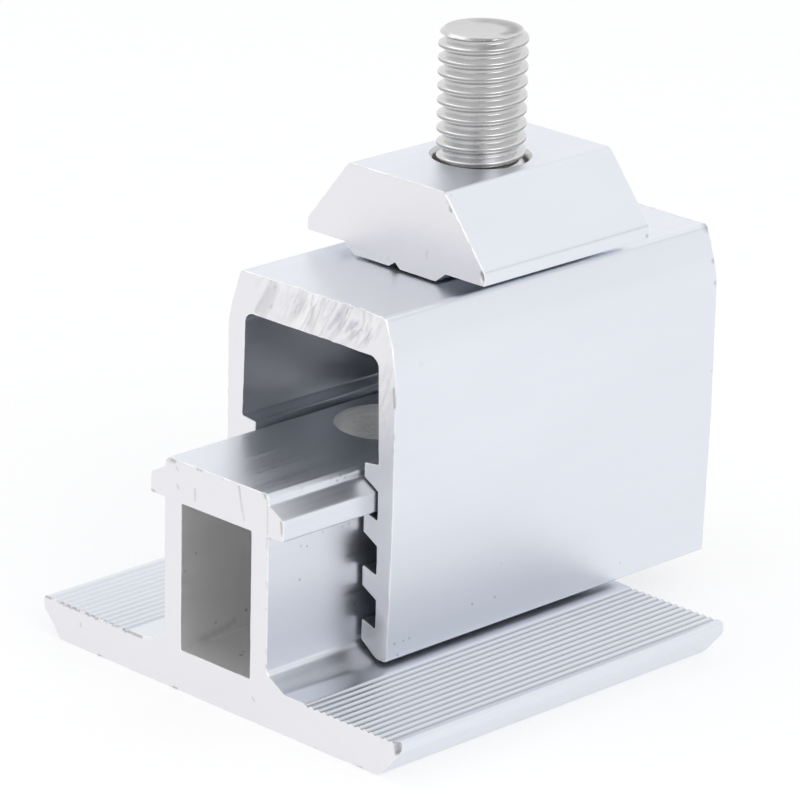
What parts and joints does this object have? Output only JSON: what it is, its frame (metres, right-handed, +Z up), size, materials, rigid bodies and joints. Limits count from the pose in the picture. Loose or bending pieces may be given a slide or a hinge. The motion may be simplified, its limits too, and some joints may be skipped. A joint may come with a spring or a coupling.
{
  "type": "solar mid clamp",
  "caption": "Solar mid clamp: ribbed base rail with a hollow box, toothed riser channel sliding on it, upright bolt and wedge-shaped clamping cap.",
  "frame": {"origin": "middle of the base rail's flat sole", "axes": "+Z up along the bolt, Y along the extrusions with the riser slid towards +Y, X across the sections"},
  "size_m": [0.044, 0.0507, 0.054],
  "materials": {
    "base_aluminium": "satin clear anodised, sawn ends rougher",
    "channel_aluminium": "satin clear anodised, sawn ends rougher",
    "bolt_stainless": "bright rolled thread, stainless",
    "cap_aluminium": "satin clear anodised, sawn ends rougher"
  },
  "bodies": {
    "base": {"base_rail": "base_aluminium"},
    "riser": {"riser_channel": "channel_aluminium"},
    "bolt": {"clamp_bolt": "bolt_stainless"},
    "cap": {"clamp_cap": "cap_aluminium"}
  },
  "joints": [
    {"name": "riser_slide", "type": "slide", "parent": "base", "child": "riser", "axis": [0, 1, 0], "range_m": [-0.0307, 0.0093]},
    {"name": "bolt_turn", "type": "hinge", "parent": "riser", "child": "bolt", "pos_m": [0, 0.0107, 0.029], "axis": [0, 0, 1], "continuous": true},
    {"name": "cap_lift", "type": "slide", "parent": "bolt", "child": "cap", "axis": [0, 0, 1], "range_m": [0, 0.011]}
  ]
}
